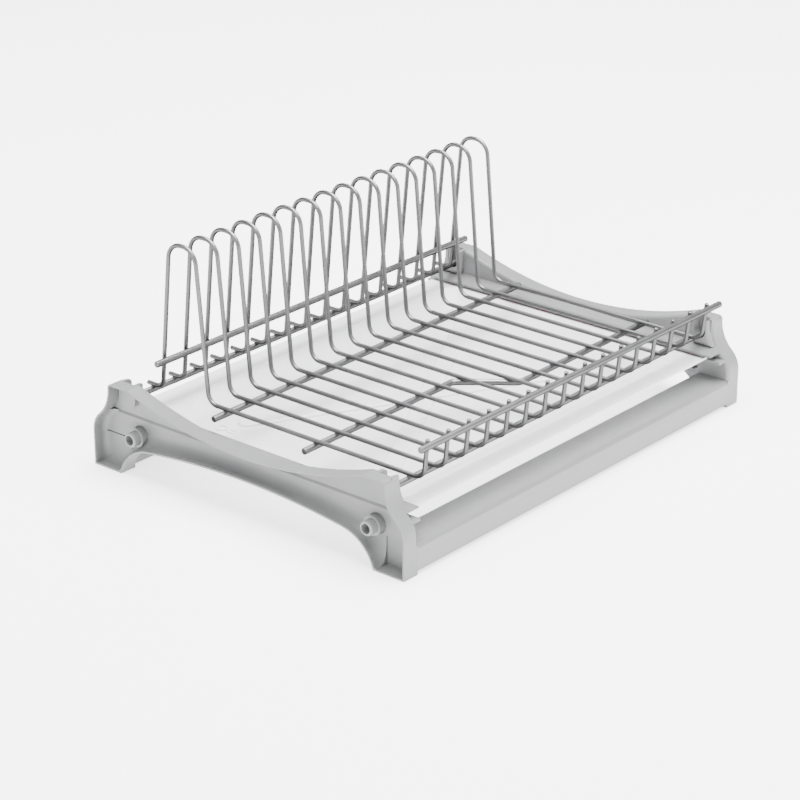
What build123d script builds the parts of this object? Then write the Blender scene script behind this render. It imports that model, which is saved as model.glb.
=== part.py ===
from build123d import *
from math import atan2, cos
import os

# Dish drying rack for the inside of a 400 mm wall cabinet.
# Millimetres. +X to the right, +Y to the back, +Z up.
# The origin is on the floor, under the middle of the rack.

# ---- driving dimensions ----
WIDTH = 364.0  # over the brackets
DEPTH = 270.0
WALL_X = WIDTH / 2
END_Y = DEPTH / 2
OVERLAP = 1.0  # how far a joined feature runs into its neighbour
CLOSE = 0.01  # for picking faces and edges by their place

# brackets, side view
TOP_Z = 62.0
TOP_SETBACK = 15.3
SHOULDER_Z = 58.5
CORNER_ROUND = 3.0
WAIST = 0.4  # where the end's curve changes direction, from ankle to shoulder
SADDLE_Z = 44.4
SADDLE_HALF = 101.0
FOOT_LENGTH = 25.0
FOOT_HEIGHT = 25.0
ARCH_Z = 27.5
ARCH_SPRING = (85.0, 21.6)

# brackets, end view
BRACKET_THICKNESS = 13.0
WEB = 3.0
RIM = 1.2
EDGE_ROUND = 2.5  # along the side that faces the rack
ROOT_ROUND = 4.5  # where the web turns into the rim
ARCH_ROOT_ROUND = 8.0
ARCH_REACH = 4.0  # the recess's arch ends less than this above the bracket's
UPPER_SINK = 1.0  # the web is this much thinner above the step
STEP_Z = 40.0
STEP_SLOPE = 1.6
STEP_HALF = 122.0
WEB_INNER_X = WALL_X - BRACKET_THICKNESS
WEB_OUTER_X = WEB_INNER_X + WEB

PANEL_SINK = 0.8
PANEL_Y = (-END_Y + RIM, -112.6)
PANEL_Z = (RIM, 21.0)
SLIT_CORNER = (108.0, 22.7)  # front upper corner of the L
SLIT_LENGTH = 24.0
SLIT_DROP = 7.4
SLIT_WIDTH = 0.8

# ledges that carry the tray
UPPER_LEDGE_X = 158.0
UPPER_LEDGE_Z = (38.5, 40.0, 43.5)  # underside, top at the tip, top at the web
LOWER_LEDGE_X = 162.5
LOWER_LEDGE_Z = (33.0, 35.0)
LEDGE_MARGIN = 0.6
LEDGE_ROUND = 0.8

# wire rack
WIRE_R = 1.5
ROD_R = 2.25
WELD = 0.1  # how far a welded wire sinks into a rod
WIRE_COUNT = 16
WIRE_PITCH = 20.0
RUN_Z = 54.55
ROD_Z = RUN_Z - WIRE_R - ROD_R + WELD
ROD_HALF = 161.3
CRADLED_ROD_HALF = 171.5
REAR_STUB_END = (114.4, RUN_Z)
REAR_FOOT = (100.2, RUN_Z)
ARCH_BACK = (89.8, 158.25)
ARCH_FRONT = (67.1, 158.25)
FRONT_FOOT = (57.9, RUN_Z)
STUB_FOOT = (-123.6, RUN_Z)
STUB_END = (-126.8, 82.0)
ARCH_BEND = 11.2
HOOK_BEND = 6.0
FOOT_BEND = 8.0
FRONT_TOP_Z = 79.2
REAR_TOP_Z = 75.5
FRONT_BOTTOM_Y = -112.0
REAR_BOTTOM_Y = 109.5
MIDDLE_REAR_Y = 43.5
JOG = ((-13.0, -35.0), (16.0, -70.0))
JOG_BEND = 6.0
END_ROUND = 0.7

# cradles for the two lower rods
SLOT_HALF = 4.8
SLOT_FLOOR_X = 172.4
SLOT_GAP = 0.3  # under a rod
SLOT_CENTRE_Z = ROD_Z - ROD_R - SLOT_GAP + SLOT_HALF
CRADLE_WALL = 2.5
CRADLE_INNER_X = 164.8
CRADLE_OUTER_X = 174.4
CRADLE_BASE_Z = 43.0
CRADLE_SETBACK = 1.5
CRADLE_ROUND = 2.9

# fixing sleeves, which take the screws into the cabinet's walls
SLEEVE_Y = (-105.0, 100.0)
SLEEVE_Z = 27.0
SLEEVE_HOLE_R = 7.0
SLEEVE_COLLAR_R = 6.6
SLEEVE_LIP = 1.0
SLEEVE_STUB_R = 5.0
SLEEVE_TAIL_X = 169.4
SLEEVE_SHOULDER_X = 177.0
SLEEVE_CHAMFER = 0.8
SLEEVE_END_X = 183.0  # a little proud of the bracket's rim
SCREW_SEAT_R = 5.2
SCREW_SEAT_DEPTH = 3.6
SCREW_HOLE_R = 2.3
MOUTH_R = 3.5
MOUTH_DEPTH = 8.0

# front and rear profiles
PROFILE_Z = (2.7, 20.0)
PROFILE_DEPTH = 25.0
PROFILE_WALL = 1.6
PROFILE_ROUND = 3.0  # along the outer upper edge
PROFILE_TOE_ROUND = 1.0  # along the outer lower edge
PROFILE_INNER_ROUND = 0.6  # along the inner upper edge
PROFILE_BORE_ROUND = 1.8
SPIGOT_GAP = 0.15
SPIGOT_LENGTH = 14.0
SPIGOT_WALL = 2.0
SPIGOT_ROUND = 2.0
SPIGOT_BORE_ROUND = 1.0

# drip tray
TRAY_HALF = 167.3
TRAY_Y = (-120.7, 124.4)
TRAY_FLANGE_Z = (35.2, 36.8)
TRAY_SHEET = 1.6
TRAY_FLOOR_Z = 28.0
TRAY_CORNER_ROUND = 3.0
BASIN_TOP = (157.0, -108.0, 108.0, 16.0)  # half width, front, back, corner radius
BASIN_FLOOR = (142.0, -88.5, 89.0, 10.0)
BASIN_TOP_WALL = 1.2  # measured level, from the inside to the outside
BASIN_FLOOR_WALL = 0.4
RIB_LENGTH = 272.0
RIB_WIDTH = 13.5
RIB_HEIGHT = 2.1
RIB_ROUND = 1.9
RIB_SHELL = 2.0
RIB_ANGLE = 28.5
RIB_CENTRE_Y = -3.0
MARK_CENTRE = (-131.0, 66.0)
MARK_R = 4.5
MARK_WIDTH = 1.2
MARK_HEIGHT = 0.8
MARK_BAR_LENGTH = 5.0
MARK_BARS = ((-2.0, -9.0), (2.0, -9.0))  # from the ring's centre


# ---- outlines shared by several features ----


def side_outline(margin=0.0):
    """A bracket's side view, Y across and Z up, drawn in by the margin."""
    shoulder = (END_Y - TOP_SETBACK, SHOULDER_Z)
    ankle = (END_Y, FOOT_HEIGHT)
    waist = (
        END_Y - WAIST * TOP_SETBACK,
        FOOT_HEIGHT + WAIST * (SHOULDER_Z - FOOT_HEIGHT),
    )
    with BuildSketch() as outline:
        with BuildLine():
            crown = TangentArc((0, ARCH_Z), ARCH_SPRING, tangent=(1, 0))
            haunch = TangentArc(ARCH_SPRING, (END_Y - FOOT_LENGTH, 0), tangent=crown % 1)
            Polyline(haunch @ 1, (END_Y, 0), ankle)
            bend = TangentArc(ankle, waist, tangent=(0, 1))
            TangentArc(waist, shoulder, tangent=bend % 1)
            Polyline(shoulder, (shoulder[0], TOP_Z), (SADDLE_HALF, TOP_Z))
            TangentArc((0, SADDLE_Z), (SADDLE_HALF, TOP_Z), tangent=(1, 0))
            mirror(about=Plane.YZ)
        make_face()
        corners = outline.vertices().filter_by(lambda v: abs(v.Y - TOP_Z) < CLOSE)
        fillet(corners, CORNER_ROUND)
        if margin:
            offset(amount=-margin, mode=Mode.REPLACE)
    return outline.sketch


def recess_outline(align):
    """The side view inside the rim, below (MAX) or above (MIN) the step."""
    with BuildSketch() as outline:
        add(side_outline(RIM))
        with Locations((0, STEP_Z)):
            Rectangle(DEPTH, TOP_Z, align=(Align.CENTER, align), mode=Mode.INTERSECT)
    return outline.sketch


def ledge_band(low, high):
    """A level band of the side view, for a ledge that ends short of the bracket."""
    with BuildSketch() as band:
        add(side_outline(LEDGE_MARGIN))
        with Locations((0, (low + high) / 2)):
            Rectangle(DEPTH, high - low, mode=Mode.INTERSECT)
        fillet(band.vertices(), LEDGE_ROUND)
    return band.sketch


def cradle_outline():
    """The U round a slot, from below the slot to the bracket's top."""
    base = SLOT_CENTRE_Z - SLOT_HALF - CRADLE_WALL
    with BuildSketch() as block:
        with Locations((0, (base + TOP_Z) / 2)):
            Rectangle(2 * (SLOT_HALF + CRADLE_WALL), TOP_Z - base)
        fillet(block.vertices().sort_by(Axis.Y)[:2], SLOT_HALF)
    return block.sketch


def end_block(rod_y):
    """The thick upper end of a bracket round this rod's slot, rounded towards the rack."""
    end = 1 if rod_y > 0 else -1
    inner_y = rod_y - end * (SLOT_HALF + CRADLE_WALL)
    with BuildPart() as block:
        with BuildSketch(Plane.YZ.offset(-(WEB_INNER_X + WEB_OUTER_X) / 2)) as outline:
            with Locations((-end * CRADLE_SETBACK, 0)):
                add(side_outline())
            with Locations(((inner_y + end * END_Y) / 2, (CRADLE_BASE_Z + TOP_Z) / 2)):
                Rectangle(
                    abs(end * END_Y - inner_y), TOP_Z - CRADLE_BASE_Z, mode=Mode.INTERSECT
                )
            fillet(outline.vertices().sort_by_distance((inner_y, CRADLE_BASE_Z))[0], SLOT_HALF)
        extrude(amount=(WEB_INNER_X + WEB_OUTER_X) / 2 - CRADLE_INNER_X)
        fillet(block.faces().sort_by(Axis.X)[-1].edges(), CRADLE_ROUND)
    return block.part


def on_web(shape):
    """Whether a face or an edge of the left bracket lies on the web's wall side."""
    return abs(shape.center().X + WEB_OUTER_X) < CLOSE


def on_arch(edge):
    """Whether an edge is part of the arch between the feet."""
    return edge.center().Z < ARCH_Z + ARCH_REACH and edge.geom_type == GeomType.CIRCLE


def wall_plane(x, y):
    """A plane on a sleeve's axis at this distance out, facing the left wall."""
    return Plane(origin=(-x, y, SLEEVE_Z), x_dir=(0, -1, 0), z_dir=(-1, 0, 0))


# ---- left bracket ----
with BuildPart() as left_bracket:
    # The body, with the edges that face the rack rounded over.
    with BuildSketch(Plane.YZ.offset(-WALL_X)):
        add(side_outline())
    extrude(amount=BRACKET_THICKNESS)
    fillet(left_bracket.faces().sort_by(Axis.X)[-1].edges(), EDGE_ROUND)

    # A recess on the wall side leaves the web and a rim all round.
    with BuildSketch(Plane.YZ.offset(-WALL_X)):
        add(recess_outline(Align.MAX))
    extrude(amount=BRACKET_THICKNESS - WEB, mode=Mode.SUBTRACT)
    web_edges = left_bracket.edges().filter_by(on_web)
    fillet(web_edges.filter_by(on_arch), ARCH_ROOT_ROUND)
    web_edges = left_bracket.edges().filter_by(on_web)
    fillet(web_edges.filter_by(lambda e: not on_arch(e) and e.center().Z < STEP_Z - OVERLAP), ROOT_ROUND)

    # Above a step along its middle the web is thinner.
    with BuildSketch(Plane.YZ.offset(-WALL_X)):
        add(recess_outline(Align.MIN))
    extrude(amount=BRACKET_THICKNESS - WEB + UPPER_SINK, mode=Mode.SUBTRACT)
    with BuildSketch(Plane.XZ):
        with BuildLine():
            Polyline(
                (-WEB_OUTER_X, STEP_Z),
                (-WEB_OUTER_X, STEP_Z - STEP_SLOPE),
                (-WEB_OUTER_X + UPPER_SINK, STEP_Z),
                close=True,
            )
        make_face()
    extrude(amount=STEP_HALF, both=True, mode=Mode.SUBTRACT)

    # Square seats at the feet, where the two profiles butt against the bracket.
    with BuildSketch(Plane.YZ.offset(-WEB_OUTER_X)):
        for end in (-1, 1):
            with Locations((end * (END_Y - PROFILE_DEPTH / 2), PROFILE_Z[1] / 2)):
                Rectangle(PROFILE_DEPTH, PROFILE_Z[1])
    extrude(amount=WEB)

    # Two ledges, with the slot for the tray's flange between them.
    with BuildSketch(Plane.YZ.offset(-WEB_INNER_X - OVERLAP)):
        add(ledge_band(UPPER_LEDGE_Z[0], UPPER_LEDGE_Z[2]))
    extrude(amount=WEB_INNER_X + OVERLAP - UPPER_LEDGE_X)
    with BuildSketch(Plane.XZ):
        with BuildLine():
            Polyline(
                (-WEB_INNER_X, UPPER_LEDGE_Z[2]),
                (-UPPER_LEDGE_X, UPPER_LEDGE_Z[1]),
                (-UPPER_LEDGE_X + OVERLAP, UPPER_LEDGE_Z[2] + OVERLAP),
                (-WEB_INNER_X, UPPER_LEDGE_Z[2] + OVERLAP),
                close=True,
            )
        make_face()
    extrude(amount=END_Y, both=True, mode=Mode.SUBTRACT)
    with BuildSketch(Plane.YZ.offset(-WEB_INNER_X - OVERLAP)):
        add(ledge_band(*LOWER_LEDGE_Z))
    extrude(amount=WEB_INNER_X + OVERLAP - LOWER_LEDGE_X)

    # Cradles: a block round the end of each lower rod, with an open-topped slot.
    for rod_y in (FRONT_BOTTOM_Y, REAR_BOTTOM_Y):
        add(end_block(rod_y))
        with BuildSketch(Plane.YZ.offset(-CRADLE_OUTER_X)):
            with Locations((rod_y, 0)):
                add(cradle_outline())
        extrude(amount=CRADLE_OUTER_X - WEB_INNER_X)
        with BuildSketch(Plane.YZ.offset(-SLOT_FLOOR_X)):
            with Locations((rod_y, SLOT_CENTRE_Z)):
                Circle(SLOT_HALF)
                Rectangle(2 * SLOT_HALF, TOP_Z, align=(Align.CENTER, Align.MIN))
        extrude(amount=SLOT_FLOOR_X - CRADLE_INNER_X + OVERLAP, mode=Mode.SUBTRACT)

    # Holes for the fixing sleeves.
    for sleeve_y in SLEEVE_Y:
        with BuildSketch(wall_plane(WEB_INNER_X, sleeve_y)):
            Circle(SLEEVE_HOLE_R)
        extrude(amount=WEB, mode=Mode.SUBTRACT)

    # A sunk panel on the wall side, over the end of the front profile.
    with BuildSketch(Plane.YZ.offset(-WALL_X)):
        with Locations((sum(PANEL_Y) / 2, sum(PANEL_Z) / 2)):
            Rectangle(PANEL_Y[1] - PANEL_Y[0], PANEL_Z[1] - PANEL_Z[0])
    extrude(amount=WALL_X - WEB_OUTER_X + PANEL_SINK, mode=Mode.SUBTRACT)

    # An L-shaped slit frees a snap panel over the end of the rear profile.
    with BuildSketch(Plane.YZ.offset(-WEB_OUTER_X - ROOT_ROUND)):
        with Locations(SLIT_CORNER):
            Rectangle(SLIT_LENGTH, SLIT_WIDTH, align=(Align.MIN, Align.MAX))
            Rectangle(SLIT_WIDTH, SLIT_DROP, align=(Align.MIN, Align.MAX))
    extrude(amount=WEB + ROOT_ROUND, mode=Mode.SUBTRACT)

    # Hollow spigots that the two profiles push on to.
    for end in (-1, 1):
        with BuildSketch(Plane.YZ.offset(-WEB_INNER_X)):
            with Locations((end * (END_Y - PROFILE_DEPTH / 2), sum(PROFILE_Z) / 2)):
                across = PROFILE_DEPTH - 2 * (PROFILE_WALL + SPIGOT_GAP)
                up = PROFILE_Z[1] - PROFILE_Z[0] - 2 * (PROFILE_WALL + SPIGOT_GAP)
                RectangleRounded(across, up, SPIGOT_ROUND)
                RectangleRounded(
                    across - 2 * SPIGOT_WALL,
                    up - 2 * SPIGOT_WALL,
                    SPIGOT_BORE_ROUND,
                    mode=Mode.SUBTRACT,
                )
        extrude(amount=SPIGOT_LENGTH)
left_bracket.part.label = "left_bracket"

# ---- right bracket: the mirror image ----
with BuildPart() as right_bracket:
    mirror(left_bracket.part, about=Plane.YZ)
right_bracket.part.label = "right_bracket"

# ---- front and rear profiles: hollow extrusions between the brackets ----


def profile_outline(end):
    """Cross-section of the front (-1) or rear (1) profile, Y across and Z up."""
    with BuildSketch() as section:
        with Locations((end * (END_Y - PROFILE_DEPTH / 2), sum(PROFILE_Z) / 2)):
            Rectangle(PROFILE_DEPTH, PROFILE_Z[1] - PROFILE_Z[0])
            corners = section.vertices()
            fillet(corners.sort_by(lambda v: end * v.X + v.Y)[-1], PROFILE_ROUND)
            fillet(corners.sort_by(lambda v: end * v.X - v.Y)[-1], PROFILE_TOE_ROUND)
            fillet(corners.sort_by(lambda v: end * v.X - v.Y)[0], PROFILE_INNER_ROUND)
            RectangleRounded(
                PROFILE_DEPTH - 2 * PROFILE_WALL,
                PROFILE_Z[1] - PROFILE_Z[0] - 2 * PROFILE_WALL,
                PROFILE_BORE_ROUND,
                mode=Mode.SUBTRACT,
            )
    return section.sketch


with BuildPart() as front_profile:
    with BuildSketch(Plane.YZ):
        add(profile_outline(-1))
    extrude(amount=WEB_INNER_X, both=True)
front_profile.part.label = "front_profile"

with BuildPart() as rear_profile:
    with BuildSketch(Plane.YZ):
        add(profile_outline(1))
    extrude(amount=WEB_INNER_X, both=True)
rear_profile.part.label = "rear_profile"

# ---- drip tray ----


def basin_section(half_width, front, back, corner, grow=0.0):
    """A level section through the basin, grown outward for the underside."""
    with BuildSketch() as section:
        with Locations((0, (front + back) / 2)):
            RectangleRounded(2 * (half_width + grow), back - front + 2 * grow, corner + grow)
    return section.sketch


with BuildPart() as drip_tray:
    # Flange all round, then the outside of the basin.
    with BuildSketch(Plane.XY.offset(TRAY_FLANGE_Z[0])):
        with Locations((0, sum(TRAY_Y) / 2)):
            RectangleRounded(2 * TRAY_HALF, TRAY_Y[1] - TRAY_Y[0], TRAY_CORNER_ROUND)
    extrude(amount=TRAY_FLANGE_Z[1] - TRAY_FLANGE_Z[0])
    with BuildSketch(Plane.XY.offset(TRAY_FLANGE_Z[1])):
        add(basin_section(*BASIN_TOP, BASIN_TOP_WALL))
    with BuildSketch(Plane.XY.offset(TRAY_FLOOR_Z - TRAY_SHEET)):
        add(basin_section(*BASIN_FLOOR, BASIN_FLOOR_WALL))
    loft()
    # The inside of the basin.
    with BuildSketch(Plane.XY.offset(TRAY_FLANGE_Z[1])):
        add(basin_section(*BASIN_TOP))
    with BuildSketch(Plane.XY.offset(TRAY_FLOOR_Z)):
        add(basin_section(*BASIN_FLOOR))
    loft(mode=Mode.SUBTRACT)
    # Two crossed ribs on the floor, hollow underneath.
    rib_angles = (-RIB_ANGLE, RIB_ANGLE)
    with BuildSketch(Plane.XY.offset(TRAY_FLOOR_Z)) as ribs:
        for angle in rib_angles:
            with Locations(Location((0, RIB_CENTRE_Y), angle)):
                SlotOverall(RIB_LENGTH, RIB_WIDTH)
    extrude(amount=RIB_HEIGHT)
    crest = drip_tray.edges().filter_by(
        lambda e: abs(e.center().Z - TRAY_FLOOR_Z - RIB_HEIGHT) < CLOSE
    )
    fillet(crest, RIB_ROUND)
    with BuildSketch(Plane.XY.offset(TRAY_FLOOR_Z - TRAY_SHEET)):
        for angle in rib_angles:
            with Locations(Location((0, RIB_CENTRE_Y), angle)):
                SlotOverall(RIB_LENGTH - 2 * RIB_SHELL, RIB_WIDTH - 2 * RIB_SHELL)
    extrude(amount=RIB_HEIGHT, mode=Mode.SUBTRACT)
    # A moulded ring and two bars in the back left corner of the floor.
    with BuildSketch(Plane.XY.offset(TRAY_FLOOR_Z)):
        with Locations(MARK_CENTRE):
            Circle(MARK_R)
            Circle(MARK_R - MARK_WIDTH, mode=Mode.SUBTRACT)
            with Locations(*MARK_BARS):
                Rectangle(MARK_WIDTH, MARK_BAR_LENGTH)
    extrude(amount=MARK_HEIGHT)
drip_tray.part.label = "drip_tray"

# ---- fixing sleeves ----


def fixing_sleeve(side, y):
    """A stepped sleeve in a bracket's hole: side -1 is the left, 1 the right."""
    with BuildPart() as sleeve:
        with BuildSketch(wall_plane(SLEEVE_TAIL_X, y)):
            Circle(SLEEVE_HOLE_R)
        extrude(amount=SLEEVE_LIP)
        with BuildSketch(wall_plane(SLEEVE_TAIL_X, y)):
            Circle(SLEEVE_COLLAR_R)
        extrude(amount=SLEEVE_SHOULDER_X - SLEEVE_TAIL_X)
        with BuildSketch(wall_plane(SLEEVE_SHOULDER_X, y)):
            Circle(SLEEVE_STUB_R)
        extrude(amount=SLEEVE_END_X - SLEEVE_SHOULDER_X)
        chamfer(sleeve.edges().sort_by(Axis.X)[0], SLEEVE_CHAMFER)
        with BuildSketch(wall_plane(SLEEVE_TAIL_X, y)):
            Circle(SCREW_HOLE_R)
        extrude(amount=SLEEVE_END_X - SLEEVE_TAIL_X, mode=Mode.SUBTRACT)
        with BuildSketch(wall_plane(SLEEVE_TAIL_X, y)):
            Circle(SCREW_SEAT_R)
        extrude(amount=SCREW_SEAT_DEPTH, mode=Mode.SUBTRACT)
        with BuildSketch(wall_plane(SLEEVE_END_X, y)):
            Circle(MOUTH_R)
        extrude(amount=-MOUTH_DEPTH, mode=Mode.SUBTRACT)
        if side > 0:
            mirror(about=Plane.YZ, mode=Mode.REPLACE)
    return sleeve.part


# ---- wire rack ----


def beside(lower, upper, height):
    """Centre of a rod welded to the front of a leaning wire, at this height."""
    lean = atan2(upper[0] - lower[0], upper[1] - lower[1])
    along = (height - lower[1]) / (upper[1] - lower[1])
    wire_y = lower[0] + along * (upper[0] - lower[0])
    return wire_y - (WIRE_R + ROD_R - WELD) / cos(lean)


def bent_wire():
    """One plate wire: rear stub, tall arch, run to the front and front stub."""
    with BuildPart() as wire:
        with BuildLine(Plane.YZ) as centreline:
            hook = FilletPolyline(
                REAR_STUB_END, REAR_FOOT, halfway(REAR_FOOT, ARCH_BACK), radius=HOOK_BEND
            )
            arch = FilletPolyline(
                hook @ 1, ARCH_BACK, ARCH_FRONT, halfway(ARCH_FRONT, FRONT_FOOT), radius=ARCH_BEND
            )
            FilletPolyline(arch @ 1, FRONT_FOOT, STUB_FOOT, STUB_END, radius=FOOT_BEND)
        with BuildSketch(Plane(origin=(0, *REAR_STUB_END), z_dir=(0, -1, 0))):
            Circle(WIRE_R)
        sweep(path=centreline.wires()[0])
        fillet(wire.edges().sort_by(Axis.Y)[-1], END_ROUND)
        fillet(wire.edges().filter_by(GeomType.CIRCLE).sort_by(Axis.Y)[0], END_ROUND)
    return wire.part


def halfway(a, b):
    """The midpoint of two points in the side view."""
    return ((a[0] + b[0]) / 2, (a[1] + b[1]) / 2)


def straight_rod(y, z, half_length):
    """A round rod across the rack with its ends rounded over."""
    with BuildPart() as rod:
        with BuildSketch(Plane.YZ.offset(-half_length)):
            with Locations((y, z)):
                Circle(ROD_R)
        extrude(amount=2 * half_length)
        fillet(rod.edges().filter_by(GeomType.CIRCLE), END_ROUND)
    return rod.part


def jogged_rod(half_length):
    """The front rod of the middle pair, which steps forward at its middle."""
    with BuildPart() as rod:
        with BuildLine(Plane.XY.offset(ROD_Z)) as centreline:
            FilletPolyline(
                (-half_length, JOG[0][1]), *JOG, (half_length, JOG[1][1]), radius=JOG_BEND
            )
        with BuildSketch(Plane(origin=centreline.line @ 0, z_dir=(1, 0, 0))):
            Circle(ROD_R)
        sweep(path=centreline.wires()[0])
        fillet(rod.edges().sort_by(Axis.X)[0], END_ROUND)
        fillet(rod.edges().sort_by(Axis.X)[-1], END_ROUND)
    return rod.part


front_top_y = beside(STUB_FOOT, STUB_END, FRONT_TOP_Z)
rear_top_y = beside(REAR_FOOT, ARCH_BACK, REAR_TOP_Z)

parts = {
    "left_bracket": left_bracket.part,
    "right_bracket": right_bracket.part,
    "front_profile": front_profile.part,
    "rear_profile": rear_profile.part,
    "drip_tray": drip_tray.part,
    "left_front_fixing_sleeve": fixing_sleeve(-1, SLEEVE_Y[0]),
    "left_rear_fixing_sleeve": fixing_sleeve(-1, SLEEVE_Y[1]),
    "right_front_fixing_sleeve": fixing_sleeve(1, SLEEVE_Y[0]),
    "right_rear_fixing_sleeve": fixing_sleeve(1, SLEEVE_Y[1]),
    "front_bottom_rod": straight_rod(FRONT_BOTTOM_Y, ROD_Z, CRADLED_ROD_HALF),
    "rear_bottom_rod": straight_rod(REAR_BOTTOM_Y, ROD_Z, CRADLED_ROD_HALF),
    "front_top_rod": straight_rod(front_top_y, FRONT_TOP_Z, ROD_HALF),
    "rear_top_rod": straight_rod(rear_top_y, REAR_TOP_Z, ROD_HALF),
    "middle_rear_rod": straight_rod(MIDDLE_REAR_Y, ROD_Z, ROD_HALF),
    "middle_front_rod": jogged_rod(ROD_HALF),
}
pattern = bent_wire()
first_wire_x = -(WIRE_COUNT - 1) * WIRE_PITCH / 2
for index in range(WIRE_COUNT):
    name = f"plate_wire_{index + 1:02d}"
    parts[name] = pattern.moved(Location((first_wire_x + index * WIRE_PITCH, 0, 0)))

# ---- write the parts ----
os.makedirs("parts", exist_ok=True)
for name, shape in parts.items():
    shape.label = name
    export_step(shape, f"parts/{name}.step")
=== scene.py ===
"""A dish drying rack for a wall cabinet: materials, weld beads, floor, lights and camera.

Metres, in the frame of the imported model: +X right, +Y back, +Z up, origin on the floor.
"""

from math import radians

import bmesh
import bpy
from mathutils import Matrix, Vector, noise


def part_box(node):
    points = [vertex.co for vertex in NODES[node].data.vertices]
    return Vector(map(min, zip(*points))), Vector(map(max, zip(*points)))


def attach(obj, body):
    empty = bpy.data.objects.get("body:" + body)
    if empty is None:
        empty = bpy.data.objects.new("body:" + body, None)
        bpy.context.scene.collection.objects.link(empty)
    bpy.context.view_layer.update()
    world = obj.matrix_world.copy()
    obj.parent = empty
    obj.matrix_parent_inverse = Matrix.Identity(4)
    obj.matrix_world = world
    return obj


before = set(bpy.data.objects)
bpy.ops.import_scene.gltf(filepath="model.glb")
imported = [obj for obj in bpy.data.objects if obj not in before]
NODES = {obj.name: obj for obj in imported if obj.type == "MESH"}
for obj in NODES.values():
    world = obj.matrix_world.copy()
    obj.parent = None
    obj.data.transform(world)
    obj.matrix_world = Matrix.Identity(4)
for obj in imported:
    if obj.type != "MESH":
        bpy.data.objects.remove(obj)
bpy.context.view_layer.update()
MM = 0.001

GREY = ((0.155, 0.157, 0.159), (0.172, 0.174, 0.176))
PALE_GREY = ((0.185, 0.187, 0.189), (0.203, 0.205, 0.207))
TRAY_WHITE = ((0.77, 0.775, 0.78), (0.8, 0.805, 0.81))
WELD_GREY = ((0.12, 0.12, 0.12), (0.22, 0.22, 0.218))
FLOOR_WHITE = ((0.9, 0.9, 0.9), (0.92, 0.92, 0.92))
# painted shade and painted light for the steel wires: dark where a wire faces down, lighter where it
# faces up
STEEL_PAINTED_SHADE = (0.05, 0.05, 0.051)
STEEL_PAINTED_LIGHT = (0.24, 0.24, 0.242)

# noise scales, in features per metre
FLOOR_PATCHES = 3
TRAY_WAVES = 14
TRAY_CLOUDS = 18
PROFILE_WAVES = 22
BRACKET_WAVES = 28
STEEL_PATCHES = 30
MOULD_CLOUDS = 35
STEEL_POLISH = 60
TRAY_SCUFFS = 140
PROFILE_POLISH = 180
MOULD_POLISH = 260
FINE_LINES = 900
WELD_POLISH = 1500
TRAY_GRAIN = 1800
WELD_GRAIN = 2400
MOULD_GRAIN = 2600

DIE_STRETCH = (0.004, 1, 1)  # draws noise out along X
PLASTIC_IOR = 1.5
POLISH_RANGE = 0.05
FLOOR_GLOW = 2.0


# ---- material helpers ----


class Shader:
    """A new material with a principled shader, and short ways to add nodes to it."""

    def __init__(self, name):
        self.material = bpy.data.materials.new(name)
        self.material.use_nodes = True
        self.tree = self.material.node_tree
        self.surface = self.tree.nodes["Principled BSDF"]
        self.place = self.tree.nodes.new("ShaderNodeTexCoord").outputs["Object"]

    def set(self, **values):
        """Set constants on the surface shader; underscores stand for spaces."""
        for name, value in values.items():
            self.surface.inputs[name.replace("_", " ")].default_value = value

    def node(self, kind, **inputs):
        """Add a node and set or link its inputs."""
        made = self.tree.nodes.new(kind)
        for name, value in inputs.items():
            socket = made.inputs[name.replace("_", " ")]
            if isinstance(value, bpy.types.NodeSocket):
                self.tree.links.new(value, socket)
            else:
                socket.default_value = value
        return made

    def link(self, output, name):
        """Drive one input of the surface shader."""
        self.tree.links.new(output, self.surface.inputs[name])

    def noise(self, scale, detail=3.0, roughness=0.5, stretch=(1, 1, 1)):
        """Noise in object space, with features of about 1/scale metres."""
        mapping = self.node("ShaderNodeMapping", Vector=self.place, Scale=stretch)
        made = self.node(
            "ShaderNodeTexNoise",
            Vector=mapping.outputs["Vector"],
            Scale=scale,
            Detail=detail,
            Roughness=roughness,
        )
        return made.outputs["Fac"]

    def remap(self, value, low, high, from_low=0.3, from_high=0.7):
        """Map a noise value onto a range."""
        made = self.node("ShaderNodeMapRange", Value=value)
        made.inputs["From Min"].default_value = from_low
        made.inputs["From Max"].default_value = from_high
        made.inputs["To Min"].default_value = low
        made.inputs["To Max"].default_value = high
        return made.outputs["Result"]

    def blend(self, factor, first, second):
        """Mix two colours by a factor."""
        made = self.tree.nodes.new("ShaderNodeMix")
        made.data_type = "RGBA"
        self.tree.links.new(factor, made.inputs["Factor"])
        made.inputs["A"].default_value = (*first, 1)
        made.inputs["B"].default_value = (*second, 1)
        return made.outputs["Result"]

    def scale(self, colour, factor):
        """Multiply a colour by a factor."""
        made = self.node("ShaderNodeVectorMath")
        made.operation = "SCALE"
        self.tree.links.new(colour, made.inputs["Vector"])
        self.tree.links.new(factor, made.inputs["Scale"])
        return made.outputs["Vector"]

    def bump(self, height, distance, strength=1.0, below=None):
        """Bump the surface by a height, on top of another bump if given."""
        made = self.node("ShaderNodeBump", Height=height, Strength=strength, Distance=distance)
        if below is not None:
            self.tree.links.new(below, made.inputs["Normal"])
        return made.outputs["Normal"]


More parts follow.
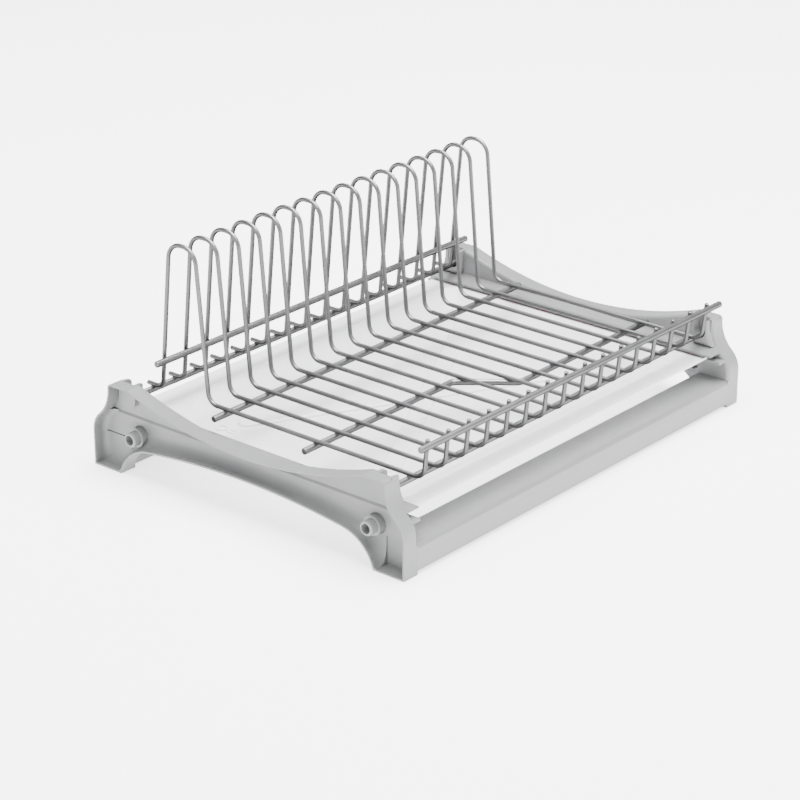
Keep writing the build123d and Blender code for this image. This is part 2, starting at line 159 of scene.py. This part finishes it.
def moulded_plastic(name, tones, roughness, grain):
    """Matte plastic with a spark-eroded grain and a faint cloudiness."""
    shader = Shader(name)
    cloud = shader.noise(MOULD_CLOUDS, detail=4)
    shader.link(shader.blend(shader.remap(cloud, 0, 1), *tones), "Base Color")
    polish = shader.noise(MOULD_POLISH, detail=2)
    shader.link(shader.remap(polish, roughness - POLISH_RANGE, roughness + POLISH_RANGE), "Roughness")
    texture = shader.noise(MOULD_GRAIN, detail=2, roughness=0.6)
    waves = shader.bump(shader.noise(BRACKET_WAVES, detail=1), 0.6 * MM, 0.35)
    shader.link(shader.bump(texture, grain, 0.5, waves), "Normal")
    shader.set(IOR=PLASTIC_IOR, Specular_IOR_Level=0.45)
    return shader.material


def extruded_plastic():
    """Satin plastic with faint lines drawn along X by the extrusion die."""
    shader = Shader("profile_plastic")
    lines = shader.noise(FINE_LINES, detail=3, stretch=DIE_STRETCH)
    shader.link(shader.blend(shader.remap(lines, 0, 1), *GREY), "Base Color")
    shader.link(shader.remap(shader.noise(PROFILE_POLISH), 0.34, 0.44), "Roughness")
    waves = shader.bump(shader.noise(PROFILE_WAVES, detail=1), 0.6 * MM, 0.25)
    shader.link(shader.bump(lines, 0.04 * MM, 0.4, waves), "Normal")
    shader.set(IOR=PLASTIC_IOR)
    return shader.material


def glossy_plastic():
    """White glossy plastic for the tray, with soft mould waves and light scuffs."""
    shader = Shader("tray_plastic")
    cloud = shader.noise(TRAY_CLOUDS, detail=3)
    shader.link(shader.blend(shader.remap(cloud, 0, 1), *TRAY_WHITE), "Base Color")
    scuff = shader.noise(TRAY_SCUFFS, detail=6, roughness=0.7)
    shader.link(shader.remap(scuff, 0.12, 0.22), "Roughness")
    waves = shader.bump(shader.noise(TRAY_WAVES, detail=1), 1.2 * MM, 0.3)
    grain = shader.noise(TRAY_GRAIN, detail=2)
    shader.link(shader.bump(grain, 0.02 * MM, 0.4, waves), "Normal")
    shader.set(IOR=PLASTIC_IOR, Subsurface_Weight=0.08, Subsurface_Scale=0.004)
    return shader.material


def drawn_steel():
    """Satin stainless wire with painted light and shade, lighter on top and darker underneath by the
    way it faces, with slow changes of polish along it.
    """
    shader = Shader("rack_steel")
    # Painted shade and light: the base colour follows the world normal's Z, dark facing down and
    # lighter facing up.
    facing = shader.node("ShaderNodeNewGeometry").outputs["Normal"]
    height = shader.node("ShaderNodeSeparateXYZ", Vector=facing).outputs["Z"]
    painted_light_factor = shader.remap(height, 0, 1, from_low=-0.5, from_high=1.0)
    tone = shader.blend(painted_light_factor, STEEL_PAINTED_SHADE, STEEL_PAINTED_LIGHT)
    patches = shader.remap(shader.noise(STEEL_PATCHES, detail=2), 0.9, 1.0)
    shader.link(shader.scale(tone, patches), "Base Color")
    shader.link(shader.remap(shader.noise(STEEL_POLISH, detail=2), 0.32, 0.38), "Roughness")
    shader.link(shader.bump(shader.noise(FINE_LINES, detail=2), 0.006 * MM, 0.3), "Normal")
    shader.set(Metallic=1.0, Specular_Tint=(0.4, 0.4, 0.4, 1))
    return shader.material


def weld_metal():
    """The duller, slightly browned metal of a weld bead."""
    shader = Shader("weld_metal")
    heat = shader.noise(FINE_LINES, detail=3)
    shader.link(shader.blend(shader.remap(heat, 0, 1), *WELD_GREY), "Base Color")
    shader.link(shader.remap(shader.noise(WELD_POLISH), 0.35, 0.55), "Roughness")
    shader.link(shader.bump(shader.noise(WELD_GRAIN), 0.06 * MM, 0.6), "Normal")
    shader.set(Metallic=1.0)
    return shader.material


def floor_paint():
    """A white light table, which glows enough to keep shadows faint."""
    shader = Shader("studio_floor")
    patches = shader.remap(shader.noise(FLOOR_PATCHES), 0, 1)
    shader.link(shader.blend(patches, *FLOOR_WHITE), "Base Color")
    shader.set(Roughness=0.9, Specular_IOR_Level=0.1)
    shader.set(Emission_Color=(1, 1, 1, 1), Emission_Strength=FLOOR_GLOW)
    return shader.material


def paint(names, material):
    """Give one material to several CAD nodes."""
    for name in names:
        data = NODES[name].data
        data.materials.clear()
        data.materials.append(material)


# ---- CAD nodes ----
WIRES = sorted(n for n in NODES if n.startswith("plate_wire_"))
RODS = sorted(n for n in NODES if n.endswith("_rod"))
SLEEVES = sorted(n for n in NODES if n.endswith("_fixing_sleeve"))
BRACKETS = ["left_bracket", "right_bracket"]
paint(BRACKETS, moulded_plastic("bracket_plastic", GREY, 0.46, 0.04 * MM))
paint(SLEEVES, moulded_plastic("sleeve_plastic", PALE_GREY, 0.42, 0.03 * MM))
paint(["front_profile", "rear_profile"], extruded_plastic())
paint(["drip_tray"], glossy_plastic())
paint(WIRES + RODS, drawn_steel())


# ---- weld beads ----
BEAD_SIZE = Vector((1.5, 1.5, 0.7)) * MM
BEAD_ROUGH = 0.15 * MM
LUMP_SCALE = 1.6  # lumps per bead radius
BEAD_SPREAD = 900  # sets the beads apart in the noise, so that no two are alike


def middle_of_section(node, x):
    """Centre of a rod where the plane at this X cuts it."""
    mesh = bmesh.new()
    mesh.from_mesh(NODES[node].data)
    everything = mesh.verts[:] + mesh.edges[:] + mesh.faces[:]
    cut = bmesh.ops.bisect_plane(mesh, geom=everything, plane_co=(x, 0, 0), plane_no=(1, 0, 0))
    points = [v.co.copy() for v in cut["geom_cut"] if isinstance(v, bmesh.types.BMVert)]
    mesh.free()
    low = Vector([min(p[i] for p in points) for i in range(3)])
    high = Vector([max(p[i] for p in points) for i in range(3)])
    return (low + high) / 2


def weld_point(wire, rod):
    """Where a wire touches a rod, and the direction from the rod to the wire."""
    low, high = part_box(wire)
    centre = middle_of_section(rod, (low[0] + high[0]) / 2)
    near = NODES[wire].closest_point_on_mesh(centre)[1]
    return near, (near - centre).normalized()


def add_bead(mesh, place, normal):
    """Add one lumpy bead, flattened along the normal."""
    turn = Vector((0, 0, 1)).rotation_difference(normal)
    made = bmesh.ops.create_icosphere(mesh, subdivisions=3, radius=1.0)
    for vertex in made["verts"]:
        lump = noise.noise(vertex.co * LUMP_SCALE + place * BEAD_SPREAD)
        local = vertex.co * BEAD_SIZE + vertex.co * BEAD_ROUGH * lump
        vertex.co = place + turn @ local


def weld_beads():
    """All the beads, one at each crossing of a wire and a rod."""
    mesh = bmesh.new()
    for wire in WIRES:
        for rod in RODS:
            add_bead(mesh, *weld_point(wire, rod))
    for face in mesh.faces:
        face.smooth = True
    data = bpy.data.meshes.new("weld_beads")
    mesh.to_mesh(data)
    mesh.free()
    beads = bpy.data.objects.new("weld_beads", data)
    bpy.context.collection.objects.link(beads)
    data.materials.append(weld_metal())
    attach(beads, "plate_rack")


weld_beads()


# ---- floor, lights and camera ----
FLOOR_SIZE = 30.0
SURROUND_STRENGTH = 0.7
SOFTBOXES = {  # place, target, size, power
    "top_softbox": ((0.2, -0.1, 2.2), (0, 0, 0), 2.2, 280),
    "front_softbox": ((0.8, -3.0, 1.2), (0, 0, 0.05), 3.0, 110),
    "left_softbox": ((-2.6, -0.2, 1.0), (0, 0, 0.05), 2.0, 42),
}
CAMERA_PLACE = (-1.27284, -1.05339, 0.72963)
CAMERA_DOWN = 23.130  # degrees below the horizon
CAMERA_TURN = -49.807  # degrees from +Y, to the right
CAMERA_LENS = 118.33
CAMERA_SENSOR = 36.0


def studio_floor():
    """A level floor under the feet."""
    bpy.ops.mesh.primitive_plane_add(size=FLOOR_SIZE)
    floor = bpy.context.object
    floor.name = "studio_floor"
    floor.data.materials.append(floor_paint())


def softbox(name, place, target, size, power):
    """A square area light aimed at a point."""
    data = bpy.data.lights.new(name, "AREA")
    data.shape = "SQUARE"
    data.size = size
    data.energy = power
    light = bpy.data.objects.new(name, data)
    light.location = place
    light.rotation_euler = (Vector(target) - Vector(place)).to_track_quat("-Z", "Y").to_euler()
    bpy.context.collection.objects.link(light)


def daylight(strength):
    """An even white surround."""
    world = bpy.data.worlds.new("surround")
    world.use_nodes = True
    background = world.node_tree.nodes["Background"]
    background.inputs["Color"].default_value = (1, 1, 1, 1)
    background.inputs["Strength"].default_value = strength
    bpy.context.scene.world = world


def camera():
    """The view from the front left, slightly above."""
    data = bpy.data.cameras.new("camera")
    data.sensor_width = CAMERA_SENSOR
    data.lens = CAMERA_LENS
    view = bpy.data.objects.new("camera", data)
    view.location = CAMERA_PLACE
    view.rotation_euler = (radians(90 - CAMERA_DOWN), 0, radians(CAMERA_TURN))
    bpy.context.collection.objects.link(view)
    bpy.context.scene.camera = view


studio_floor()
daylight(SURROUND_STRENGTH)
for light, settings in SOFTBOXES.items():
    softbox(light, *settings)
camera()
